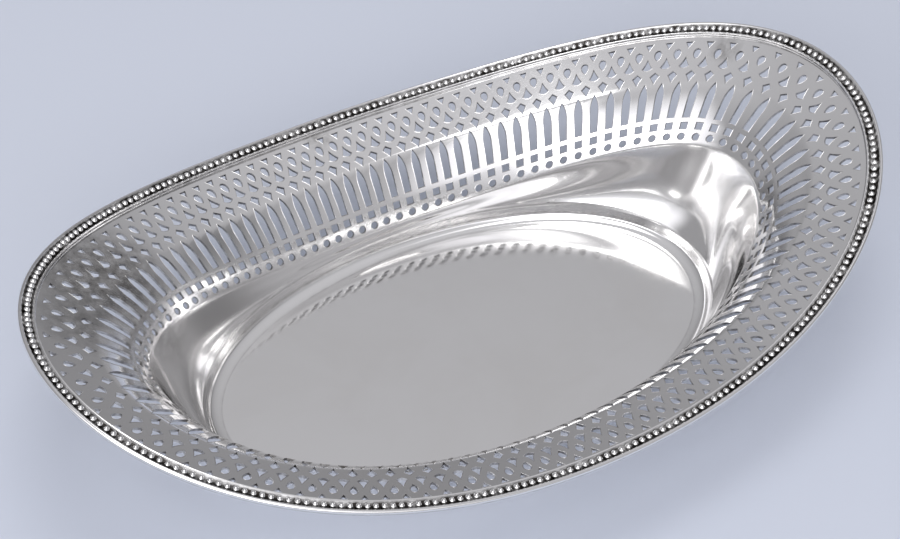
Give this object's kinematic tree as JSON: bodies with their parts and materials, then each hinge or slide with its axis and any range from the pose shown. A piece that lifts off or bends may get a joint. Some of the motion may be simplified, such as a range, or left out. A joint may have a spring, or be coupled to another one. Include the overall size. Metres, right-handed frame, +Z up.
{
  "type": "bread tray",
  "caption": "Oval pierced bread tray in silver with a flat sunk floor, high ends, low sides and a beaded edge.",
  "frame": {"origin": "on the surface that the tray stands on, under the middle of the floor", "axes": "+Z up, +X along the long axis, +Y along the short axis; the high ends lie at -X and +X"},
  "size_m": [0.3056, 0.1906, 0.0707],
  "materials": {
    "sheet_silver": "polished silver sheet, worn to a soft satin sheen, a little oxidised in the cove and at the pierced edges",
    "border_silver": "polished cast silver, dark oxide in the troughs beside and between the beads"
  },
  "bodies": {
    "root": {"tray_body": "sheet_silver", "border_left_far": "border_silver", "border_left": "border_silver", "border_near_left": "border_silver", "border_make_up": "border_silver", "border_right": "border_silver"}
  },
  "joints": []
}
